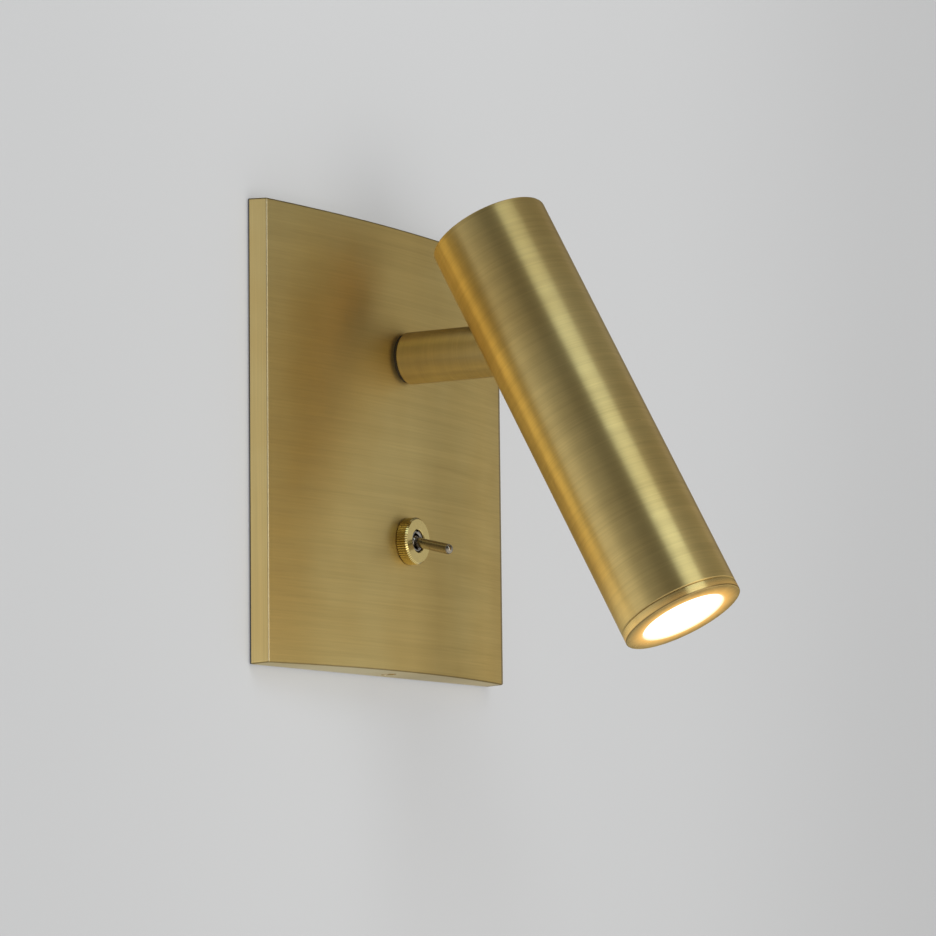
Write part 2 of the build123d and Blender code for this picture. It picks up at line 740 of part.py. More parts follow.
with BuildPart() as swivel_nut:
    with BuildSketch(facing.offset(swivel_nut_front - swivel_nut_thickness)):
        with Locations((0, axis_offset)):
            RegularPolygon(swivel_nut_radius, 6)
            Circle(spigot_radius + face_gap, mode=Mode.SUBTRACT)
    extrude(amount=swivel_nut_thickness)
swivel_nut.part.label = "swivel_nut"
export_step(swivel_nut.part, "parts/swivel_nut.step")

# Toggle switch: body, bushing with its frame, lock washer, ring nut, lugs, pin and lever
with BuildPart() as switch_body:
    with BuildSketch(facing.offset(switch_back)):
        with Locations((0, -axis_offset)):
            Rectangle(switch_width, switch_length)
    extrude(amount=switch_body_front - switch_back)
    with BuildSketch(facing.offset(switch_body_front - lever_tail)):
        with Locations((0, -axis_offset)):
            Circle(bushing_bore)
    extrude(amount=lever_tail, mode=Mode.SUBTRACT)
switch_body.part.label = "switch_body"
export_step(switch_body.part, "parts/switch_body.step")

with BuildPart() as switch_bushing:
    with BuildSketch(facing.offset(switch_body_front)):
        with Locations((0, -axis_offset)):
            Rectangle(switch_width, switch_length)
    extrude(amount=frame_thickness)
    with BuildSketch(facing.offset(switch_body_front)):
        with Locations((0, -axis_offset)):
            Circle(bushing_radius)
    extrude(amount=bushing_front - switch_body_front)
    with BuildSketch(facing.offset(switch_body_front)):
        with Locations((0, -axis_offset)):
            Circle(bushing_bore)
    extrude(amount=bushing_front, mode=Mode.SUBTRACT)
    chamfer(switch_bushing.edges().group_by(Axis.Y)[0], length=bushing_chamfer)
    with BuildSketch(facing.offset(frame_front)):
        with Locations((0, -axis_offset + bushing_radius)):
            Rectangle(bushing_key_width, 2 * bushing_key_depth)
    extrude(amount=bushing_front, mode=Mode.SUBTRACT)
    with BuildSketch(lever_side):
        Circle(lever_pin_radius)
    extrude(amount=bushing_radius + cut_past, both=True, mode=Mode.SUBTRACT)
switch_bushing.part.label = "switch_bushing"
export_step(switch_bushing.part, "parts/switch_bushing.step")

with BuildPart() as switch_washer:
    with BuildSketch(facing.offset(frame_front + face_gap)):
        with Locations((0, -axis_offset)):
            Circle(lock_washer_radius)
            Circle(bushing_radius + slip_gap, mode=Mode.SUBTRACT)
            with PolarLocations(lock_washer_radius, nut_teeth // 3):
                Circle(lock_washer / 2, mode=Mode.SUBTRACT)
    extrude(amount=lock_washer)
switch_washer.part.label = "switch_washer"
export_step(switch_washer.part, "parts/switch_washer.step")

tooth_size = math.pi * nut_radius / nut_teeth
with BuildPart() as ring_nut:
    with BuildSketch(facing.offset(nut_seat)):
        with Locations((0, -axis_offset)):
            Circle(nut_radius)
            Circle(bushing_radius + face_gap, mode=Mode.SUBTRACT)
    extrude(amount=nut_thickness)
    chamfer(ring_nut.edges().group_by(Axis.Y)[0].sort_by(SortBy.RADIUS)[-1], length=nut_rim_chamfer)
    chamfer(ring_nut.edges().group_by(Axis.Y)[0].sort_by(SortBy.RADIUS)[0], length=nut_bore_chamfer)
    chamfer(ring_nut.edges().group_by(Axis.Y)[-1].sort_by(SortBy.RADIUS)[-1], length=nut_back_chamfer)
    with BuildSketch(facing.offset(nut_seat)):
        with Locations((0, -axis_offset)):
            with PolarLocations(nut_radius + tooth_size / 6, nut_teeth):
                Rectangle(tooth_size, tooth_size, rotation=45)
    extrude(amount=nut_thickness, mode=Mode.SUBTRACT)
ring_nut.part.label = "ring_nut"
export_step(ring_nut.part, "parts/ring_nut.step")

with BuildPart() as switch_lugs:
    with BuildSketch(facing.offset(lug_end)):
        with Locations((0, -axis_offset)):
            with GridLocations(0, lug_pitch, 1, 2):
                Rectangle(lug_width, lug_thickness)
    extrude(amount=switch_back - lug_end)
switch_lugs.part.label = "switch_lugs"
export_step(switch_lugs.part, "parts/switch_lugs.step")

with BuildPart() as lever_pin:
    with BuildSketch(lever_side):
        Circle(lever_pin_radius - pin_gap)
    extrude(amount=bushing_radius - bushing_chamfer, both=True)
lever_pin.part.label = "lever_pin"
export_step(lever_pin.part, "parts/lever_pin.step")

lever_radius = lever_diameter / 2
dome_start = lever_length - lever_radius
with BuildPart() as toggle_lever:
    with BuildSketch(lever_plane):
        with BuildLine():
            Polyline(
                (dome_start, lever_radius),
                (lever_ball + lever_neck, lever_neck),
                (0, lever_neck),
                (0, lever_tail_radius),
                (-lever_tail, lever_tail_radius),
                (-lever_tail, 0),
                (lever_length, 0),
            )
            CenterArc((dome_start, 0), lever_radius, 0, 90)
        make_face()
    revolve(axis=Axis(lever_pivot, lever_way))
    with BuildSketch(lever_plane):
        with BuildLine():
            Line((-lever_ball, 0), (lever_ball, 0))
            CenterArc((0, 0), lever_ball, 0, 180)
        make_face()
    revolve(axis=Axis(lever_pivot, lever_way))
    with BuildSketch(lever_side):
        Circle(lever_pin_radius + running_gap)
    extrude(amount=lever_ball + cut_past, both=True, mode=Mode.SUBTRACT)
toggle_lever.part.label = "toggle_lever"
export_step(toggle_lever.part, "parts/toggle_lever.step")

# Leads that lie on the bracket, and the ones that run through the arm and the head
wire_bend = 1.2
wire_space = 1.4
lug_wire_depth = switch_back - wire_radius - slip_gap
lead_depth = sheet + lead_radius + 2 * slip_gap
lead_bend = lead_radius + 2 * slip_gap
terminal_top = terminal_place_z + terminal_height / 2
terminal_grip = terminal_top - terminal_entry + slip_gap
live_x = terminal_place_x - terminal_pitch
neutral_x = terminal_place_x
earth_x = terminal_place_x + terminal_pitch
driver_bottom = -driver_height / 2
driver_wire_x = driver_ear_place - driver_ear / 2 - wire_radius - wire_space
lug_low = -axis_offset - lug_pitch / 2
lug_high = -axis_offset + lug_pitch / 2
lug_side = lug_width / 2
lug_approach = switch_width / 2 + 2 * slip_gap
sheet_edge = switch_width / 2 + opening_margin - slip_gap
neutral_rise = -driver_ear_rise - driver_ear / 2 - wire_radius - wire_space
earth_turn = (terminal_top + earth_place_z - earth_head_radius) / 2

with BuildPart() as live_lead:
    with BuildLine() as live_path:
        FilletPolyline(
            (live_x, -wire_depth, terminal_grip),
            (live_x, -wire_depth, lug_low),
            (sheet_edge, -wire_depth, lug_low),
            (lug_approach, -lug_wire_depth, lug_low),
            (lug_side, -lug_wire_depth, lug_low),
            radius=wire_bend,
        )
    with BuildSketch(Plane(origin=live_path.line @ 0, z_dir=live_path.line % 0)):
        Circle(wire_radius)
    sweep(path=live_path.line)
live_lead.part.label = "live_lead"
export_step(live_lead.part, "parts/live_lead.step")

with BuildPart() as switched_lead:
    with BuildLine() as switched_path:
        FilletPolyline(
            (-lug_side, -lug_wire_depth, lug_high),
            (-lug_approach, -lug_wire_depth, lug_high),
            (-sheet_edge, -wire_depth, lug_high),
            (-driver_wire_x, -wire_depth, lug_high),
            (-driver_wire_x, -wire_depth, driver_bottom),
            radius=wire_bend,
        )
    with BuildSketch(Plane(origin=switched_path.line @ 0, z_dir=switched_path.line % 0)):
        Circle(wire_radius)
    sweep(path=switched_path.line)
switched_lead.part.label = "switched_lead"
export_step(switched_lead.part, "parts/switched_lead.step")

with BuildPart() as neutral_lead:
    with BuildLine() as neutral_path:
        FilletPolyline(
            (neutral_x, -wire_depth, terminal_grip),
            (neutral_x, -wire_depth, neutral_rise),
            (driver_wire_x, -wire_depth, neutral_rise),
            (driver_wire_x, -wire_depth, driver_bottom),
            radius=wire_bend,
        )
    with BuildSketch(Plane(origin=neutral_path.line @ 0, z_dir=neutral_path.line % 0)):
        Circle(wire_radius)
    sweep(path=neutral_path.line)
neutral_lead.part.label = "neutral_lead"
export_step(neutral_lead.part, "parts/neutral_lead.step")

with BuildPart() as earth_lead:
    with BuildLine() as earth_path:
        FilletPolyline(
            (earth_x, -wire_depth, terminal_grip),
            (earth_x, -wire_depth, earth_turn),
            (earth_place_x, -wire_depth, earth_turn),
            (earth_place_x, -wire_depth, earth_place_z - earth_head_radius),
            radius=wire_bend,
        )
    with BuildSketch(Plane(origin=earth_path.line @ 0, z_dir=earth_path.line % 0)):
        Circle(wire_radius)
    sweep(path=earth_path.line)
earth_lead.part.label = "earth_lead"
export_step(earth_lead.part, "parts/earth_lead.step")

with BuildPart() as driver_lead:
    with BuildLine() as driver_path:
        FilletPolyline(
            (0, -lead_join, axis_offset),
            (0, -lead_depth, axis_offset),
            (0, -lead_depth, driver_height / 2),
            radius=lead_bend,
        )
    with BuildSketch(Plane(origin=driver_path.line @ 0, z_dir=driver_path.line % 0)):
        Circle(lead_radius)
    sweep(path=driver_path.line)
driver_lead.part.label = "driver_lead"
export_step(driver_lead.part, "parts/driver_lead.step")

arm_lead_end = pivot_reach - lead_bore - lead_radius / 2
with BuildPart() as arm_lead:
    with BuildSketch(facing.offset(lead_join)):
        with Locations((0, axis_offset)):
            Circle(lead_radius)
    extrude(amount=arm_lead_end - lead_join)
arm_lead.part.label = "arm_lead"
export_step(arm_lead.part, "parts/arm_lead.step")

# Head tube: closed rounded end, slot at the rear for the arm, seats for the block screws
tube_front = head_below_pivot - bezel_length
seam_chamfer = 0.25
block_screw_spots = [
    (0, -block_screw_first),
    (0, -block_screw_first - block_screw_pitch),
]
with BuildPart() as head_tube:
    with BuildSketch(head_plane.offset(-tube_front)):
        Circle(head_radius)
    extrude(amount=tube_front + head_above_pivot)
    end_faces = head_tube.faces().filter_by(GeomType.PLANE).sort_by(head_axis)
    fillet(end_faces[-1].edges(), radius=head_end_round)
    chamfer(end_faces[0].edges(), length=seam_chamfer)
    with BuildSketch(head_plane.offset(-tube_front)):
        Circle(head_bore)
    extrude(amount=tube_front + head_above_pivot - head_end_wall, mode=Mode.SUBTRACT)
    with BuildSketch(head_back):
        with Locations((0, slot_rise / 2)):
            SlotCenterToCenter(slot_rise, 2 * slot_half, rotation=90)
    extrude(amount=head_radius + cut_past, mode=Mode.SUBTRACT)
    with BuildSketch(head_back.offset(block_head_face - block_head_height)):
        with Locations(*block_screw_spots):
            Circle(block_screw_radius + face_gap)
    extrude(amount=head_radius, taper=-45, mode=Mode.SUBTRACT)
    with BuildSketch(head_back.offset(head_bore / 2)):
        with Locations(*block_screw_spots):
            Circle(block_screw_radius + face_gap)
    extrude(amount=head_radius, mode=Mode.SUBTRACT)
head_tube.part.label = "head_tube"
export_step(head_tube.part, "parts/head_tube.step")

# Bezel ring: screws into the tube and holds the lens by its lip
with BuildPart() as bezel_ring:
    with BuildSketch(head_plane.offset(-head_below_pivot)):
        Circle(head_radius)
    extrude(amount=bezel_length)
    bezel_faces = bezel_ring.faces().filter_by(GeomType.PLANE).sort_by(head_axis)
    fillet(bezel_faces[0].edges(), radius=bezel_round)
    chamfer(bezel_faces[-1].edges(), length=seam_chamfer)
    with BuildSketch(head_plane.offset(-tube_front)):
        Circle(head_bore - face_gap)
    extrude(amount=bezel_spigot)
    with BuildSketch(head_plane.offset(-lens_front)):
        Circle(lens_radius + slip_gap)
    extrude(amount=head_below_pivot, mode=Mode.SUBTRACT)
    with BuildSketch(head_plane.offset(-head_below_pivot)):
        Circle(lens_opening / 2)
    extrude(amount=head_below_pivot, mode=Mode.SUBTRACT)
    bezel_mouth = bezel_ring.edges().filter_by(GeomType.CIRCLE).group_by(head_axis)[0]
    chamfer(bezel_mouth.sort_by(SortBy.RADIUS)[0], length=bezel_lip / 2)
bezel_ring.part.label = "bezel_ring"
export_step(bezel_ring.part, "parts/bezel_ring.step")

with BuildPart() as lens:
    with BuildSketch(head_plane.offset(-lens_front)):
        Circle(lens_radius)
    extrude(amount=lens_thickness)
lens.part.label = "lens"
export_step(lens.part, "parts/lens.step")

with BuildPart() as lens_seal:
    with BuildSketch(head_plane.offset(-lens_back)):
        Circle(lens_radius)
        Circle(seal_inner, mode=Mode.SUBTRACT)
    extrude(amount=seal_thickness)
lens_seal.part.label = "lens_seal"
export_step(lens_seal.part, "parts/lens_seal.step")

# Reflector: collar on the light board, cone, flange behind the seal
cone_start = reflector_root + collar_length
flange_back = reflector_front - reflector_flange
with BuildPart() as reflector:
    with BuildSketch(head_section):
        with BuildLine():
            Polyline(
                (collar_inner, -reflector_root),
                (collar_inner + reflector_wall, -reflector_root),
                (collar_inner + reflector_wall, -cone_start),
                (mouth_radius + reflector_wall, -flange_back),
                (lens_radius, -flange_back),
                (lens_radius, -reflector_front),
                (mouth_radius, -reflector_front),
                (collar_inner, -cone_start),
                close=True,
            )
        make_face()
    revolve(axis=head_axis)
reflector.part.label = "reflector"
export_step(reflector.part, "parts/reflector.step")

# Light board, emitter, heat sink and the screws that hold them together
board_screw_spots = [(0, board_screw_place), (0, -board_screw_place)]
with BuildPart() as light_board:
    with BuildSketch(head_plane.offset(-reflector_root)):
        Circle(light_board_radius)
        with Locations(*board_screw_spots):
            Circle(board_screw_radius + slip_gap, mode=Mode.SUBTRACT)
    extrude(amount=light_board_thickness)
light_board.part.label = "light_board"
export_step(light_board.part, "parts/light_board.step")

with BuildPart() as light_emitter:
    with BuildSketch(head_plane.offset(-reflector_root - emitter_thickness)):
        Circle(emitter_radius)
    extrude(amount=emitter_thickness)
light_emitter.part.label = "light_emitter"
export_step(light_emitter.part, "parts/light_emitter.step")

with BuildPart() as board_screws:
    with BuildSketch(head_plane.offset(-sink_front - light_board_thickness)):
        with Locations(*board_screw_spots):
            Circle(board_screw_radius)
    extrude(amount=light_board_thickness + board_screw_reach)
    with BuildSketch(head_plane.offset(-reflector_root - board_head_height)):
        with Locations(*board_screw_spots):
            Circle(board_head_radius)
    extrude(amount=board_head_height)
    with BuildSketch(head_plane.offset(-reflector_root - board_head_height)):
        with Locations(*board_screw_spots):
            Rectangle(board_head_radius * cross_share, screw_slot)
            Rectangle(screw_slot, board_head_radius * cross_share)
    extrude(amount=board_head_height / 2, mode=Mode.SUBTRACT)
board_screws.part.label = "board_screws"
export_step(board_screws.part, "parts/board_screws.step")

tie_spots = [(tie_place, 0), (-tie_place, 0)]
sink_tie_depth = sink_length / 4
with BuildPart() as heat_sink:
    with BuildSketch(head_plane.offset(-sink_front)):
        Circle(sink_radius)
        Circle(lead_bore, mode=Mode.SUBTRACT)
    extrude(amount=sink_length)
    first_groove = (sink_length - (fin_grooves - 1) * fin_pitch - fin_groove_width) / 2
    for groove in range(fin_grooves):
        with BuildSketch(head_plane.offset(-sink_front + first_groove + groove * fin_pitch)):
            Circle(sink_radius + cut_past)
            Circle(sink_radius - fin_groove_depth, mode=Mode.SUBTRACT)
        extrude(amount=fin_groove_width, mode=Mode.SUBTRACT)
    with BuildSketch(head_plane.offset(-sink_front)):
        with Locations(*board_screw_spots):
            Circle(board_screw_radius + face_gap)
    extrude(amount=board_screw_reach + face_gap, mode=Mode.SUBTRACT)
    with BuildSketch(head_plane.offset(-sink_back - sink_tie_depth)):
        with Locations(*tie_spots):
            Circle(tie_radius + face_gap)
    extrude(amount=sink_tie_depth, mode=Mode.SUBTRACT)
heat_sink.part.label = "heat_sink"
export_step(heat_sink.part, "parts/heat_sink.step")

with BuildPart() as tie_screws:
    with BuildSketch(head_plane.offset(-sink_back - sink_tie_depth)):
        with Locations(*tie_spots):
            Circle(tie_radius)
    extrude(amount=sink_back + sink_tie_depth - block_below + tie_grip)
tie_screws.part.label = "tie_screws"
export_step(tie_screws.part, "parts/tie_screws.step")

# Pivot block: fills the tube round the arm's end, cheeks on either side of it
web_cut = block_radius + block_web
with BuildPart() as pivot_block:
    with BuildSketch(head_plane.offset(-block_below)):
        Circle(block_radius)
    extrude(amount=block_below + block_above)
    with BuildSketch(head_plane.offset(-block_floor)):
        with Locations((0, web_cut / 2 - block_web)):
            Rectangle(2 * slot_half, web_cut)
    extrude(amount=block_floor + block_above, mode=Mode.SUBTRACT)
    with BuildSketch(head_plane.offset(-block_below)):
        Circle(lead_bore)
    extrude(amount=block_below, mode=Mode.SUBTRACT)
    with BuildSketch(head_plane.offset(-block_below)):
        with Locations(*tie_spots):
            Circle(tie_radius + face_gap)
    extrude(amount=tie_grip + face_gap, mode=Mode.SUBTRACT)
    with BuildSketch(pivot_side):
        Circle(pivot_shoulder + face_gap)
    extrude(amount=head_radius, both=True, mode=Mode.SUBTRACT)
    with BuildSketch(pivot_side.offset(pivot_head_seat)):
        Circle(pivot_head_radius + slip_gap)
    extrude(amount=head_radius, mode=Mode.SUBTRACT)
    with BuildSketch(pivot_side.offset(-pivot_head_seat)):
        Circle(pivot_head_radius + slip_gap)
    extrude(amount=-head_radius, mode=Mode.SUBTRACT)
    with BuildSketch(head_back.offset(block_screw_reach - face_gap)):
        with Locations(*block_screw_spots):
            Circle(block_screw_radius + face_gap)
    extrude(amount=head_radius, mode=Mode.SUBTRACT)
pivot_block.part.label = "pivot_block"
export_step(pivot_block.part, "parts/pivot_block.step")

with BuildPart() as pivot_screws:
    with BuildSketch(pivot_side.offset(pivot_inner)):
        Circle(pivot_shoulder)
    extrude(amount=pivot_head_seat - pivot_inner)
    with BuildSketch(pivot_side.offset(pivot_head_seat)):
        Circle(pivot_head_radius)
    extrude(amount=pivot_head_height)
    with BuildSketch(pivot_side.offset(pivot_head_seat + pivot_head_height / 3)):
        RegularPolygon(pivot_head_radius / 2, 6)
    extrude(amount=pivot_head_height, mode=Mode.SUBTRACT)
    mirror(about=Plane.YZ)
pivot_screws.part.label = "pivot_screws"
export_step(pivot_screws.part, "parts/pivot_screws.step")

with BuildPart() as friction_washers:
    with BuildSketch(pivot_side.offset(knuckle_half + face_gap)):
        Circle(washer_outer)
        Circle(pivot_shoulder + face_gap, mode=Mode.SUBTRACT)
    extrude(amount=slot_half - knuckle_half - 2 * face_gap)
    mirror(about=Plane.YZ)
friction_washers.part.label = "friction_washers"
export_step(friction_washers.part, "parts/friction_washers.step")

with BuildPart() as block_screws:
    with BuildSketch(head_back.offset(block_screw_reach)):
        with Locations(*block_screw_spots):
            Circle(block_screw_radius)
    extrude(amount=block_head_face - block_head_height - block_screw_reach)
    with BuildSketch(head_back.offset(block_head_face - block_head_height)):
        with Locations(*block_screw_spots):
            Circle(block_screw_radius)
    extrude(amount=block_head_height, taper=-45)
    with BuildSketch(head_back.offset(block_head_face - block_head_height / 2)):
        with Locations(*block_screw_spots):
            RegularPolygon(block_head_radius / 2, 6)
    extrude(amount=block_head_height, mode=Mode.SUBTRACT)
block_screws.part.label = "block_screws"
export_step(block_screws.part, "parts/block_screws.step")

head_lead_start = lead_bore + lead_radius + lead_room
with BuildPart() as head_lead:
    with BuildSketch(head_plane.offset(-sink_front)):
        Circle(lead_radius)
    extrude(amount=sink_front - head_lead_start)
head_lead.part.label = "head_lead"
export_step(head_lead.part, "parts/head_lead.step")
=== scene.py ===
import math
import bpy
from mathutils import Matrix, Vector

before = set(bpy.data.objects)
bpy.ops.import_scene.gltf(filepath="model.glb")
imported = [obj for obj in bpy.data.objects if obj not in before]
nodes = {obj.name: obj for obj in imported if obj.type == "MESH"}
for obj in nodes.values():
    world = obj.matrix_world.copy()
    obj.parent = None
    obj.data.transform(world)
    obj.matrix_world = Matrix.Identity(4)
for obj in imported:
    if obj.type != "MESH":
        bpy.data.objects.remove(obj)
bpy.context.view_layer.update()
scene = bpy.context.scene

# Sizes shared with the solids, in metres and degrees
HEAD_TILT = math.radians(27.9)
PIVOT = Vector((0, -0.05415, 0.0247))
HEAD_UP = Vector((0, math.sin(HEAD_TILT), math.cos(HEAD_TILT)))
HEAD_TOP = 0.03655
HEAD_END = 0.0835
BEZEL_LENGTH = 0.0025
BEZEL_SEAM = -HEAD_END + BEZEL_LENGTH
BEZEL_FACE = -HEAD_END
LENS_EDGE = 0.011
AXIS_OFFSET = 0.0247
PLATE_HALF = 0.060
NUT_TEETH = 60

# Camera at the photograph's place
CAMERA_PLACE = (-0.88745, -0.54704, -0.12791)
CAMERA_AIM = (59.764, 6.760, -0.624)
SENSOR_WIDTH = 36.0
FOCAL_LENGTH = 149.65


def aim(azimuth, elevation, roll):
    a, e, r = (math.radians(v) for v in (azimuth, elevation, roll))
    forward = Vector((math.sin(a) * math.cos(e), math.cos(a) * math.cos(e), math.sin(e)))
    flat = Vector((math.cos(a), -math.sin(a), 0))
    upright = flat.cross(forward)
    right = flat * math.cos(r) + upright * math.sin(r)
    up = upright * math.cos(r) - flat * math.sin(r)
    return Matrix((right, up, -forward)).transposed().to_4x4()


camera_data = bpy.data.cameras.new("camera")
camera_data.sensor_width = SENSOR_WIDTH
camera_data.lens = FOCAL_LENGTH
camera_data.clip_start = 0.05
camera_data.clip_end = 50.0
camera = bpy.data.objects.new("camera", camera_data)
scene.collection.objects.link(camera)
camera.matrix_world = Matrix.Translation(CAMERA_PLACE) @ aim(*CAMERA_AIM)
scene.camera = camera
scene.view_settings.view_transform = "Standard"


# Directions in the room
def way(azimuth, elevation):
    # azimuth is from the room's side of the wall, towards the left
    a, e = math.radians(azimuth), math.radians(elevation)
    return Vector((-math.sin(a) * math.cos(e), -math.cos(a) * math.cos(e), math.sin(e)))


# Short ways to build a node tree
class Tree:
    def __init__(self, tree):
        self.tree = tree
        tree.nodes.clear()

    def add(self, kind, inputs=None, **settings):
        node = self.tree.nodes.new(kind)
        for key, value in settings.items():
            setattr(node, key, value)
        for key, value in (inputs or {}).items():
            self.put(node.inputs[key], value)
        return node

    def put(self, socket, value):
        if isinstance(value, bpy.types.NodeSocket):
            self.tree.links.new(value, socket)
        else:
            socket.default_value = value

    def math(self, operation, a, b=0.0):
        return self.add("ShaderNodeMath", {0: a, 1: b}, operation=operation).outputs[0]

    def vector(self, operation, a, b=(0, 0, 0)):
        node = self.add("ShaderNodeVectorMath", {0: a, 1: b}, operation=operation)
        return node.outputs["Value" if operation == "DOT_PRODUCT" else "Vector"]

    def range(self, value, low, high, to_low=0.0, to_high=1.0, smooth=False):
        kind = "SMOOTHSTEP" if smooth else "LINEAR"
        node = self.add("ShaderNodeMapRange", interpolation_type=kind)
        items = {"Value": value, "From Min": low, "From Max": high, "To Min": to_low, "To Max": to_high}
        for key, item in items.items():
            self.put(node.inputs[key], item)
        return node.outputs[0]

    def band(self, value, rise, fall):
        # one between a rising and a falling edge
        return self.math("MULTIPLY", self.range(value, *rise), self.range(value, *fall, 1.0, 0.0))

    def noise(self, place, scale, detail=3.0, rough=0.55):
        inputs = {"Vector": place, "Scale": scale, "Detail": detail, "Roughness": rough}
        return self.add("ShaderNodeTexNoise", inputs).outputs[0]

    def stretched_noise(self, place, stretch, detail, rough):
        return self.noise(self.vector("MULTIPLY", place, stretch), 1.0, detail, rough)

    def mix(self, factor, a, b):
        node = self.add("ShaderNodeMix", data_type="RGBA")
        self.put(node.inputs[0], factor)
        self.put(node.inputs[6], a)
        self.put(node.inputs[7], b)
        return node.outputs[2]

    def blend(self, factor, a, b):
        node = self.add("ShaderNodeMix", data_type="FLOAT")
        self.put(node.inputs[0], factor)
        self.put(node.inputs[2], a)
        self.put(node.inputs[3], b)
        return node.outputs[0]

    def ramp(self, factor, stops):
        node = self.add("ShaderNodeValToRGB", {"Fac": factor})
        elements = node.color_ramp.elements
        while len(elements) < len(stops):
            elements.new(0.5)
        for element, (place, colour) in zip(elements, stops):
            element.position = place
            element.color = (*colour, 1)
        return node.outputs[0]

    def place(self):
        return self.add("ShaderNodeTexCoord").outputs["Object"]

    def normal(self):
        return self.add("ShaderNodeTexCoord").outputs["Normal"]

    def parts(self, vector):
        return self.add("ShaderNodeSeparateXYZ", {0: vector}).outputs

    def from_axis(self, across, deep):
        squares = self.math("ADD", self.math("MULTIPLY", across, across), self.math("MULTIPLY", deep, deep))
        return self.math("SQRT", squares)

    def turn_x(self, vector, angle):
        inputs = {"Vector": vector, "Angle": angle}
        return self.add("ShaderNodeVectorRotate", inputs, rotation_type="X_AXIS").outputs[0]

    def head_place(self):
        # place with the tube upright about its pivot
        return self.turn_x(self.vector("SUBTRACT", self.place(), tuple(PIVOT)), HEAD_TILT)

    def head_normal(self):
        # normal with the tube upright
        return self.turn_x(self.normal(), HEAD_TILT)

    def near(self, vector, direction, low, high, to_low=0.0, to_high=1.0):
        # rises as a unit vector comes close to a direction
        closeness = self.vector("DOT_PRODUCT", vector, tuple(direction))
        return self.range(closeness, low, high, to_low, to_high, smooth=True)

    def world_way(self, direction):
        node = self.add("ShaderNodeVectorTransform", {0: direction}, vector_type="VECTOR")
        node.convert_from, node.convert_to = "OBJECT", "WORLD"
        return node.outputs[0]

    def bump(self, height, strength, distance):
        inputs = {"Height": height, "Strength": strength, "Distance": distance}
        return self.add("ShaderNodeBump", inputs).outputs[0]


def material(name, **sockets):
    made = bpy.data.materials.new(name)
    made.use_nodes = True
    t = Tree(made.node_tree)
    shader = t.add("ShaderNodeBsdfPrincipled")
    t.add("ShaderNodeOutputMaterial", {"Surface": shader.outputs[0]})
    for key, value in sockets.items():
        shader.inputs[key.replace("_", " ")].default_value = value
    return made, t, shader


def scaled(colour, share):
    return tuple(min(1.0, c * share) for c in colour)


def dark_and_pale(colour, contrast):
    return scaled(colour, 1 - contrast), scaled(colour, 1 + contrast)


# Brushed brass of the plate, tube, bezel and arm
BRASS = (0.581, 0.440, 0.173)
BROWNING = (0.93, 0.88, 0.80)
BRASS_SHEEN = (0.80, 0.68, 0.45, 1)
CLOUD_SCALE = 22.0
FINE_SHARE = 0.55
BRUSH_DEPTH = 0.00006
PLAIN = (1, 1, 1, 1)


def brushed_brass(name, lines, cloud_place, tangent, tint, rough=0.31, turn=0.6, contrast=0.10, metal=0.80):
    # lines gives the fine and the broad brush marks, tint what the colour is multiplied by
    made, t, shader = material(name, Metallic=metal, Anisotropic=turn, Specular_Tint=BRASS_SHEEN)
    fine, broad = lines(t)
    cloud = t.noise(cloud_place(t), CLOUD_SCALE)
    marks = t.math("ADD", t.math("MULTIPLY", fine, FINE_SHARE), t.math("MULTIPLY", broad, 1 - FINE_SHARE))
    tone = t.range(marks, 0.3, 0.7)
    aged = t.range(cloud, 0.35, 0.68, smooth=True)
    brown = tuple(c * share for c, share in zip(BRASS, BROWNING))
    (clean_dark, clean_pale), (brown_dark, brown_pale) = (dark_and_pale(c, contrast) for c in (BRASS, brown))
    clean_tone = t.mix(tone, (*clean_dark, 1), (*clean_pale, 1))
    brown_tone = t.mix(tone, (*brown_dark, 1), (*brown_pale, 1))
    colour = t.mix(aged, brown_tone, clean_tone)
    t.put(shader.inputs["Base Color"], t.vector("MULTIPLY", colour, tint(t)))
    t.put(shader.inputs["Roughness"], t.range(marks, 0.25, 0.75, rough + 0.05, rough - 0.05))
    t.put(shader.inputs["Normal"], t.bump(fine, 0.10, BRUSH_DEPTH))
    t.put(shader.inputs["Tangent"], tangent(t))
    return made, t, shader


# Face plate: brushed across the front, and along the edges
# Painted light and shade on the plate's faces and rounded edges, chosen by which way they face
SIDE_PAINTED_LIGHT = (1.43, 1.45, 1.60, 1)
UNDER_PAINTED_LIGHT = (1.33, 1.60, 2.78, 1)
CORNER_PAINTED_SHEEN = (0.79, 0.86, 1.30, 1)
EDGE_PAINTED_SHADE = (0.45, 0.45, 0.50, 1)
RIGHT_LINE_PAINTED_SHADE = (0.50, 0.53, 0.80, 1)
RIGHT_LINE_START = PLATE_HALF - 0.0017
RIGHT_LINE_FULL = PLATE_HALF - 0.0012


def plate_side(t):
    return t.range(t.math("ABSOLUTE", t.parts(t.normal())[0]), 0.55, 0.85)


def plate_lines(t):
    place = t.place()
    side = plate_side(t)
    front_fine = t.stretched_noise(place, (14, 300, 2100), 4.0, 0.65)
    front_broad = t.stretched_noise(place, (9, 60, 330), 3.0, 0.6)
    side_fine = t.stretched_noise(place, (300, 2300, 16), 4.0, 0.65)
    side_broad = t.stretched_noise(place, (60, 420, 10), 3.0, 0.6)
    return t.blend(side, front_fine, side_fine), t.blend(side, front_broad, side_broad)


def plate_tangent(t):
    return t.mix(plate_side(t), (0, 0, 1, 1), (0, 1, 0, 1))


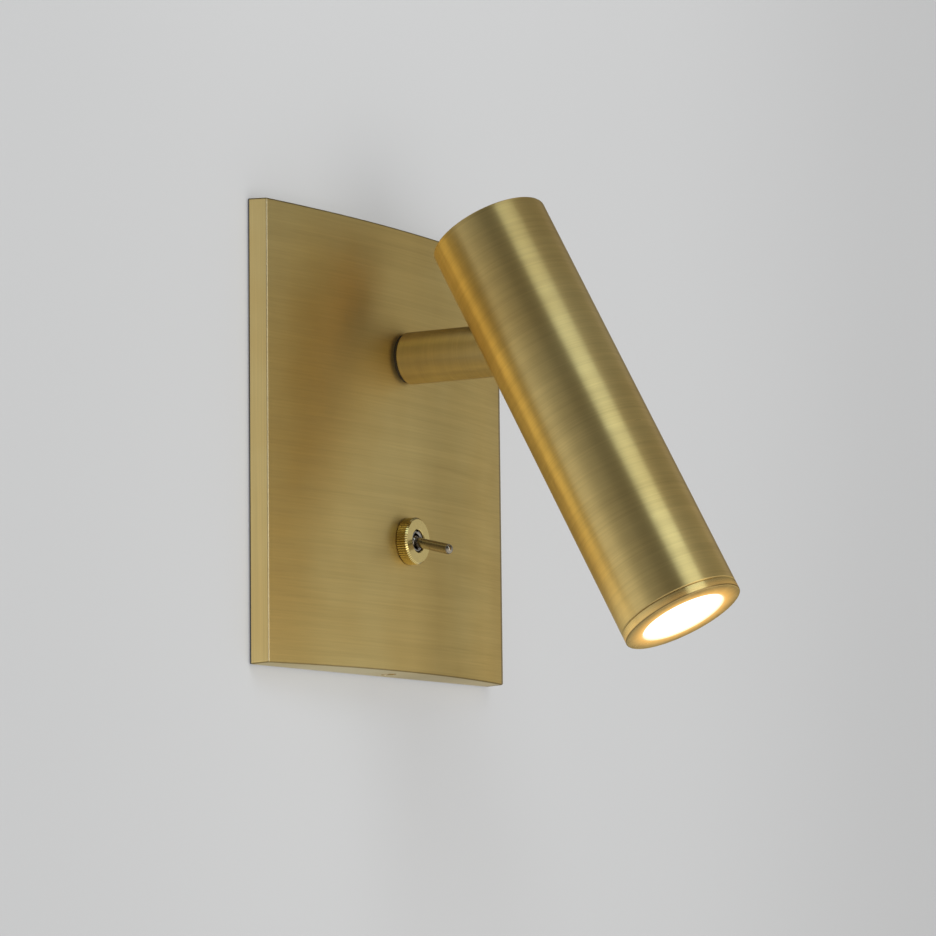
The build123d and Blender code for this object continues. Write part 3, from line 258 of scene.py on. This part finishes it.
def plate_edges(t, along, side):
    # painted light on the paler sides and underside, a painted highlight tinted duller and bluer down the
    # left and right corners, and painted shade in a dark line along the top and bottom corners and down the
    # right edge of the front
    across, _, high = t.parts(t.normal())
    under = t.range(high, -0.80, -0.95)
    corner_sheen = t.band(t.math("ABSOLUTE", across), (0.15, 0.40), (0.80, 0.95))
    dark = t.band(t.math("ABSOLUTE", high), (0.15, 0.45), (0.92, 0.98))
    right_edge = t.range(along, RIGHT_LINE_START, RIGHT_LINE_FULL)
    right_line = t.math("MULTIPLY", right_edge, t.math("SUBTRACT", 1.0, side))
    tint = t.mix(side, PLAIN, SIDE_PAINTED_LIGHT)
    tint = t.mix(under, tint, UNDER_PAINTED_LIGHT)
    tint = t.mix(corner_sheen, tint, CORNER_PAINTED_SHEEN)
    tint = t.mix(dark, tint, EDGE_PAINTED_SHADE)
    return t.mix(right_line, tint, RIGHT_LINE_PAINTED_SHADE)


def plate_tint(t):
    # front paler below (painted light) and bluer to the right, with a darker patch of painted shade on either
    # side
    #     # of the middle
    along, _, height = t.parts(t.place())
    side = t.range(t.math("ABSOLUTE", t.parts(t.normal())[0]), 0.80, 0.97)
    lower = t.range(height, PLATE_HALF, -PLATE_HALF, 0.98, 1.12)
    right = t.range(along, -PLATE_HALF, PLATE_HALF)
    hue = t.mix(right, (1.0, 1.03, 1.06, 1), (1.0, 1.03, 1.14, 1))
    left_place = t.range(along, -0.030, -0.050, smooth=True)
    left_patch = t.math("MULTIPLY", left_place, t.range(height, -0.062, -0.010, 0.03, 0.18))
    right_place = t.band(along, (0.002, 0.016), (0.028, 0.046))
    right_patch = t.math("MULTIPLY", right_place, t.range(height, 0.03, -0.06, 0.09, 0.20))
    shade_patches = t.math("MULTIPLY", t.math("ADD", left_patch, right_patch), t.math("SUBTRACT", 1.0, side))
    painted_light_and_shade = t.math("SUBTRACT", lower, shade_patches)
    return t.vector("MULTIPLY", t.vector("MULTIPLY", plate_edges(t, along, side), hue), painted_light_and_shade)


plate_brass, _, _ = brushed_brass(
    "brushed_plate", plate_lines, Tree.place, plate_tangent, plate_tint, rough=0.42, turn=0.7, metal=0.92)


# Tube: brushed round and round
TUBE_RIGHT_PAINTED_REFLECTION = (1.20, 1.22, 1.45, 1)


def tube_lines(t):
    place = t.head_place()
    fine = t.stretched_noise(place, (26, 26, 1900), 4.0, 0.65)
    broad = t.stretched_noise(place, (18, 18, 260), 3.0, 0.6)
    return fine, broad


def tube_tangent(t):
    return t.world_way(tuple(HEAD_UP))


def tube_tint(t):
    # a little paler towards the lit end (painted light), paler and bluer down the right (painted reflection),
    #     # with a dark stripe of painted shade down the left
    along = t.parts(t.head_place())[2]
    normal = t.head_normal()
    paler = t.range(along, HEAD_TOP, -HEAD_END, 0.90, 1.08)
    left = t.near(normal, way(71, 0), 0.90, 0.985)
    stripe = t.math("MULTIPLY", left, t.range(along, 0.02, -HEAD_END, 0.0, 0.24))
    right = t.near(normal, way(-30, 0), 0.766, 0.94)
    edge = t.mix(right, PLAIN, TUBE_RIGHT_PAINTED_REFLECTION)
    return t.vector("MULTIPLY", edge, t.math("SUBTRACT", paler, stripe))


tube_brass, _, _ = brushed_brass(
    "brushed_tube", tube_lines, Tree.head_place, tube_tangent, tube_tint, contrast=0.14)


# Bezel: turned brass with a painted glow of the lamp's light round its mouth, and a painted trace of it down
# its side
BEZEL_TINT = (1.10, 1.10, 1.12, 1)
BEZEL_PAINTED_SHADE = (0.40, 0.34, 0.32, 1)
GLOW_REACH = 0.0052


def bezel_tint(t):
    # paler all over (painted light of the glow), with a dark line of painted shade at the seam with the tube
    #     # and round the outer edge of the face
    high = t.parts(t.head_place())[2]
    seam = t.range(high, BEZEL_SEAM - 0.00030, BEZEL_SEAM - 0.00015)
    rise = (BEZEL_FACE + 0.00002, BEZEL_FACE + 0.00008)
    fall = (BEZEL_FACE + 0.00025, BEZEL_FACE + 0.00040)
    line = t.math("MAXIMUM", seam, t.band(high, rise, fall))
    return t.mix(line, BEZEL_TINT, BEZEL_PAINTED_SHADE)


bezel_brass, t, shader = brushed_brass(
    "turned_bezel", tube_lines, Tree.head_place, tube_tangent, bezel_tint, rough=0.27)
# painted glow: emission on the bezel's face, mouth and side stands in for the lamp's light falling there
across, deep, high = t.parts(t.head_place())
radius = t.from_axis(across, deep)
painted_glow = t.math("POWER", t.range(radius, LENS_EDGE, LENS_EDGE + GLOW_REACH, 1.0, 0.0), 1.5)
facing_out = t.range(high, BEZEL_FACE + 0.0004, BEZEL_FACE + 0.0001)
mouth = t.range(radius, LENS_EDGE + 0.0010, LENS_EDGE + 0.0002)
face_glow = t.math("MULTIPLY", t.math("MULTIPLY", painted_glow, facing_out), 0.95)
side_level = t.range(high, BEZEL_SEAM - 0.0004, BEZEL_FACE + 0.0008, 0.0, 0.16)
side_glow = t.math("MULTIPLY", side_level, t.range(high, BEZEL_FACE + 0.0002, BEZEL_FACE + 0.0005))
strength = t.math("MAXIMUM", t.math("MAXIMUM", face_glow, t.math("MULTIPLY", mouth, 1.5)), side_glow)
t.put(shader.inputs["Emission Color"], t.mix(mouth, (1.0, 0.50, 0.11, 1), (1.0, 0.86, 0.60, 1)))
t.put(shader.inputs["Emission Strength"], strength)


# Arm: brushed round its own length
ARM_TINT = (1.12, 1.15, 1.15, 1)
ARM_PAINTED_SHADE = (0.74, 0.77, 0.84, 1)


def arm_lines(t):
    place = t.place()
    fine = t.stretched_noise(place, (40, 1900, 40), 4.0, 0.65)
    broad = t.stretched_noise(place, (30, 300, 30), 3.0, 0.6)
    return fine, broad


def arm_tangent(t):
    return t.world_way((0, 1, 0))


def arm_tint(t):
    # darker along the top, and in a band below the middle, both painted shade
    high = t.parts(t.normal())[2]
    upper = t.range(high, 0.15, 0.75, 1.0, 0.80, smooth=True)
    lower = t.band(high, (-1.30, -0.62), (-0.32, -0.06))
    tint = t.mix(lower, ARM_TINT, ARM_PAINTED_SHADE)
    return t.vector("MULTIPLY", tint, upper)


arm_brass, _, _ = brushed_brass("brushed_arm", arm_lines, Tree.place, arm_tangent, arm_tint, rough=0.36)


# Small metal pieces
def machined(name, colour, rough, spread=0.05, grain=900.0, contrast=0.06, tint=None):
    made, t, shader = material(name, Metallic=1.0)
    place = t.place()
    marks = t.noise(place, grain)
    cloud = t.noise(place, grain / 7, 2.0)
    tone = t.math("ADD", t.math("MULTIPLY", marks, 0.5), t.math("MULTIPLY", cloud, 0.5))
    dark, pale = dark_and_pale(colour, contrast)
    ramp = t.ramp(tone, ((0.30, dark), (0.70, pale)))
    t.put(shader.inputs["Base Color"], t.vector("MULTIPLY", ramp, tint(t)) if tint else ramp)
    t.put(shader.inputs["Roughness"], t.range(tone, 0.3, 0.7, rough + spread, rough - spread))
    t.put(shader.inputs["Normal"], t.bump(marks, 0.06, 0.00003))
    return made


def nut_tint(t):
    # darker between the teeth, over the side and across the rim's chamfer
    across, _, high = t.parts(t.place())
    angle = t.math("ARCTAN2", t.math("ADD", high, AXIS_OFFSET), across)
    tooth = t.range(t.math("SINE", t.math("MULTIPLY", angle, NUT_TEETH)), -0.5, 0.6, 0.42, 1.0)
    outward = t.range(t.math("ABSOLUTE", t.parts(t.normal())[1]), 0.96, 0.85)
    return t.blend(outward, 1.0, tooth)


nut_brass = machined("polished_brass", (0.74, 0.58, 0.22), 0.20, tint=nut_tint)
screw_brass = machined("machined_brass", (0.62, 0.46, 0.17), 0.28)
nickel = machined("bright_nickel", (0.29, 0.27, 0.24), 0.17, 0.04)
steel = machined("dull_steel", (0.30, 0.26, 0.20), 0.20)
zinc = machined("zinc_plate", (0.60, 0.61, 0.62), 0.36, 0.08, 420.0, 0.10)
spring = machined("spring_steel", (0.36, 0.36, 0.37), 0.30)
blackened = machined("blackened_steel", (0.055, 0.054, 0.056), 0.42, 0.06)
aluminium = machined("machined_aluminium", (0.70, 0.71, 0.72), 0.33, 0.06, 700.0)
mirror = machined("bright_coat", (0.88, 0.87, 0.84), 0.10, 0.03)


# Moulded and rubber pieces
def moulded(name, colour, rough, grain=1600.0, contrast=0.07):
    made, t, shader = material(name)
    place = t.place()
    fine = t.noise(place, grain)
    cloud = t.noise(place, grain / 40, 2.0)
    tone = t.math("ADD", t.math("MULTIPLY", fine, 0.4), t.math("MULTIPLY", cloud, 0.6))
    dark, pale = dark_and_pale(colour, contrast)
    t.put(shader.inputs["Base Color"], t.ramp(tone, ((0.30, dark), (0.70, pale))))
    t.put(shader.inputs["Roughness"], t.range(fine, 0.3, 0.7, rough + 0.06, rough - 0.06))
    t.put(shader.inputs["Normal"], t.bump(fine, 0.15, 0.00004))
    return made


rubber = moulded("dark_rubber", (0.022, 0.022, 0.023), 0.72, 1100.0, 0.18)
nylon = moulded("black_nylon", (0.030, 0.030, 0.031), 0.48, 1500.0, 0.15)
brown_nylon = moulded("brown_nylon", (0.035, 0.024, 0.010), 0.55, 1500.0, 0.15)
sleeve = moulded("shrink_sleeve", (0.018, 0.018, 0.022), 0.28, 600.0, 0.15)
white_case = moulded("white_moulding", (0.72, 0.72, 0.69), 0.46)
board_white = moulded("white_mask", (0.76, 0.76, 0.73), 0.36)
tape = moulded("core_tape", (0.55, 0.40, 0.07), 0.40, 500.0, 0.10)
brown_lead = moulded("brown_insulation", (0.095, 0.036, 0.014), 0.42)
blue_lead = moulded("blue_insulation", (0.020, 0.075, 0.30), 0.42)
white_lead = moulded("white_insulation", (0.70, 0.70, 0.67), 0.42)

# Earth lead: green with a yellow stripe round it
STRIPE_SLANT = 0.45
STRIPE_RATE = 2600.0
earth_stripe, t, shader = material("striped_insulation", Roughness=0.42)
across, _, high = t.parts(t.place())
slanted = t.math("ADD", across, t.math("MULTIPLY", high, STRIPE_SLANT))
stripe = t.range(t.math("SINE", t.math("MULTIPLY", slanted, STRIPE_RATE)), -0.15, 0.15)
grain = t.noise(t.place(), 900.0)
green = t.ramp(grain, ((0.3, (0.050, 0.185, 0.028)), (0.7, (0.062, 0.225, 0.036))))
yellow = t.ramp(grain, ((0.3, (0.62, 0.50, 0.035)), (0.7, (0.70, 0.57, 0.045))))
t.put(shader.inputs["Base Color"], t.mix(stripe, green, yellow))
t.put(shader.inputs["Normal"], t.bump(grain, 0.1, 0.00003))

# Circuit board: green mask over paler tracks
board_green, t, shader = material("green_mask", Roughness=0.35)
place = t.place()
track_sizes = {
    "Scale": 180.0,
    "Mortar Size": 0.055,
    "Mortar Smooth": 0.2,
    "Brick Width": 1.4,
    "Row Height": 0.42,
}
tracks = t.add("ShaderNodeTexBrick", {"Vector": t.turn_x(place, math.pi / 2), **track_sizes}).outputs["Fac"]
weave = t.noise(place, 1400.0)
mask = t.ramp(weave, ((0.3, (0.012, 0.085, 0.030)), (0.7, (0.017, 0.105, 0.038))))
copper = t.ramp(weave, ((0.3, (0.045, 0.190, 0.070)), (0.7, (0.055, 0.225, 0.085))))
t.put(shader.inputs["Base Color"], t.mix(tracks, mask, copper))
t.put(shader.inputs["Normal"], t.bump(tracks, 0.25, 0.00004))

# Emitter: phosphor in fine grains
emitter, t, shader = material("phosphor", Roughness=0.5)
grains = t.noise(t.place(), 2600.0, 2.0)
phosphor = t.ramp(grains, ((0.3, (0.80, 0.56, 0.10)), (0.7, (0.90, 0.66, 0.16))))
t.put(shader.inputs["Base Color"], phosphor)
shader.inputs["Emission Color"].default_value = (1.0, 0.80, 0.50, 1)
t.put(shader.inputs["Emission Strength"], t.range(grains, 0.3, 0.7, 2.6, 3.4))

# Lens: clear disc, filled with warm light that reddens at its rim
lens, t, shader = material("lit_lens", Roughness=0.06, IOR=1.49)
across, deep, _ = t.parts(t.head_place())
ripple = t.noise(t.head_place(), 420.0, 2.0)
rippled = t.math("ADD", t.from_axis(across, deep), t.math("MULTIPLY", ripple, 0.0007))
inward = t.range(rippled, LENS_EDGE + 0.0004, LENS_EDGE - 0.0012, smooth=True)
shader.inputs["Base Color"].default_value = (0.86, 0.85, 0.82, 1)
t.put(shader.inputs["Emission Color"], t.mix(inward, (1.0, 0.80, 0.50, 1), (1.0, 0.93, 0.80, 1)))
t.put(shader.inputs["Emission Strength"], t.blend(inward, 1.4, t.range(ripple, 0.3, 0.7, 1.7, 2.1)))

# Which nodes have which finish
finishes = {
    plate_brass: "face_plate",
    tube_brass: "head_tube",
    bezel_brass: "bezel_ring",
    arm_brass: "arm",
    nut_brass: "ring_nut",
    screw_brass: "earth_screw swivel_nut block_screws",
    nickel: "switch_bushing switch_lugs",
    steel: "toggle_lever",
    zinc: "wall_bracket terminal_screws driver_screws stop_washer switch_washer board_screws tie_screws",
    spring: "wave_washer",
    blackened: "grub_screw lever_pin pivot_screws",
    aluminium: "heat_sink pivot_block",
    mirror: "reflector",
    # the edge gasket is a real part, and its dark rubber also stands in for shade in the gap behind the
    # plate's edge
    rubber: "edge_gasket cable_grommet lens_seal",
    nylon: "switch_body friction_washers",
    brown_nylon: "swivel_bush",
    sleeve: "driver_capacitor",
    white_case: "terminal_block driver_case driver_lid",
    board_green: "driver_board",
    board_white: "light_board",
    tape: "driver_transformer",
    emitter: "light_emitter",
    lens: "lens",
    brown_lead: "live_lead switched_lead",
    blue_lead: "neutral_lead",
    earth_stripe: "earth_lead",
    white_lead: "driver_lead arm_lead head_lead",
}
for finish, names in finishes.items():
    for name in names.split():
        for slot in nodes[name].material_slots:
            slot.material = finish

# Wall behind the light, seen from the room only and left out of reflections
WALL_REACH = 3.0
WALL_GAP = 0.0004
WALL_GLOW = 0.215
corners = [(x * WALL_REACH, 0, z * WALL_REACH) for x, z in ((-1, -1), (1, -1), (1, 1), (-1, 1))]
wall_mesh = bpy.data.meshes.new("wall")
wall_mesh.from_pydata(corners, [], [(0, 1, 2, 3)])
wall = bpy.data.objects.new("wall", wall_mesh)
wall.location = (0, WALL_GAP, 0)
scene.collection.objects.link(wall)
wall.visible_diffuse = False
wall.visible_glossy = False
wall.visible_transmission = False
wall.visible_shadow = False
wall_paint = bpy.data.materials.new("wall_paint")
wall_paint.use_nodes = True
t = Tree(wall_paint.node_tree)
plaster = t.noise(t.place(), 3.0, 2.0)
paint = t.ramp(plaster, ((0.3, (0.334, 0.334, 0.334)), (0.7, (0.346, 0.346, 0.346))))
# painted shade: the wall darker towards its left and right
along = t.parts(t.place())[0]
right_fade = t.range(along, 0.16, 0.36, 1.0, 0.92, smooth=True)
left_fade = t.range(along, -0.18, -0.02, 0.945, 1.0, smooth=True)
painted_wall_shade = t.math("MULTIPLY", right_fade, left_fade)
lit = t.add("ShaderNodeBsdfDiffuse", {"Color": t.vector("MULTIPLY", paint, painted_wall_shade)})
own = t.add("ShaderNodeEmission", {"Color": (1, 1, 1, 1), "Strength": t.math("MULTIPLY", painted_wall_shade, WALL_GLOW)})
both = t.add("ShaderNodeAddShader", {0: lit.outputs[0], 1: own.outputs[0]})
clear = t.add("ShaderNodeBsdfTransparent")
back = t.add("ShaderNodeNewGeometry").outputs["Backfacing"]
side = t.add("ShaderNodeMixShader", {0: back, 1: both.outputs[0], 2: clear.outputs[0]})
t.add("ShaderNodeOutputMaterial", {"Surface": side.outputs[0]})
wall_mesh.materials.append(wall_paint)

# Room around the light: pale wall behind, dimmer room in front
SEEN_LEVEL = 0.61
DARKEST_ROOM = 0.02
world = bpy.data.worlds.new("room")
scene.world = world
world.use_nodes = True
t = Tree(world.node_tree)
ray = t.vector("NORMALIZE", t.add("ShaderNodeTexCoord").outputs["Generated"])
across, deep, high = t.parts(ray)
behind = t.range(deep, -0.10, 0.10, smooth=True)
edge_level = t.range(across, -0.3, 0.3, 0.22, 0.16)
edge_end = t.range(across, -0.2, 0.2, 0.0, 0.25)
wall_start = t.range(across, -0.2, 0.2, 0.62, 0.95)
straight_level = t.range(across, -0.1, 0.4, 0.62, 0.46)
wall_level = t.blend(t.range(deep, edge_end, wall_start, smooth=True), edge_level, straight_level)
low_wall = t.range(high, 0.02, -0.30, 1.0, 1.8, smooth=True)
low_room = t.range(high, -0.6, 0.05, 0.95, 0.55, smooth=True)
room_level = t.math("MULTIPLY", low_room, t.range(high, 0.05, 0.62, 1.0, 0.40, smooth=True))
dim_left = t.near(ray, way(84, 27), 0.66, 0.97, 0.0, 0.27)
dim_front = t.near(ray, way(-14, 50), 0.80, 0.98, 0.0, 0.07)
room_level = t.math("SUBTRACT", t.math("SUBTRACT", room_level, dim_left), dim_front)
room_level = t.math("MAXIMUM", room_level, DARKEST_ROOM)
level = t.blend(behind, room_level, t.math("MULTIPLY", wall_level, low_wall))
seen = t.add("ShaderNodeLightPath").outputs["Is Camera Ray"]
strength = t.blend(seen, level, SEEN_LEVEL)
background = t.add("ShaderNodeBackground", {"Color": (1, 1, 1, 1), "Strength": strength})
t.add("ShaderNodeOutputWorld", {"Surface": background.outputs[0]})


# Soft lamps
def softbox(name, azimuth, elevation, distance, size, radiance, colour, target=(0, -0.04, 0)):
    data = bpy.data.lights.new(name, "AREA")
    data.shape = "RECTANGLE"
    data.size, data.size_y = size
    data.energy = radiance * math.pi * size[0] * size[1]
    data.color = colour
    lamp = bpy.data.objects.new(name, data)
    scene.collection.objects.link(lamp)
    out = way(azimuth, elevation)
    lamp.location = Vector(target) + out * distance
    lamp.rotation_mode = "QUATERNION"
    lamp.rotation_quaternion = (-out).to_track_quat("-Z", "Y")
    lamp.visible_camera = False
    return lamp


def alone(name, piece):
    # collection that holds one piece, for a lamp that lights nothing else
    made = bpy.data.collections.new(name)
    made.objects.link(piece)
    return made


softbox(
    "key", azimuth=26, elevation=38, distance=1.0, size=(0.62, 0.45), radiance=1.40, colour=(0.79, 1.0, 1.18))
softbox(
    "front", azimuth=6, elevation=-4, distance=1.5, size=(1.2, 1.6), radiance=1.9, colour=(1.0, 0.99, 0.97))
softbox(
    "top", azimuth=-10, elevation=80, distance=1.4, size=(1.4, 0.9), radiance=0.5, colour=(1.0, 1.0, 1.0))

# Lamp that washes the wall alone, so that the plate's soft shadow falls below it
wash = softbox(
    "wash", azimuth=24, elevation=40, distance=1.1, size=(0.7, 0.7), radiance=2.2, colour=(1.0, 1.0, 1.0))
wash.light_linking.receiver_collection = alone("washed", wall)

# Lamp that lights the tube alone, as the bright plate behind it does
rim = softbox(
    "rim", azimuth=187, elevation=-7, distance=0.10, size=(0.045, 0.07), radiance=5.5,
    colour=(1.0, 0.78, 0.34), target=(-0.012, -0.045, 0.045))
rimmed = alone("rimmed", nodes["head_tube"])
rim.light_linking.receiver_collection = rimmed
rim.light_linking.blocker_collection = rimmed
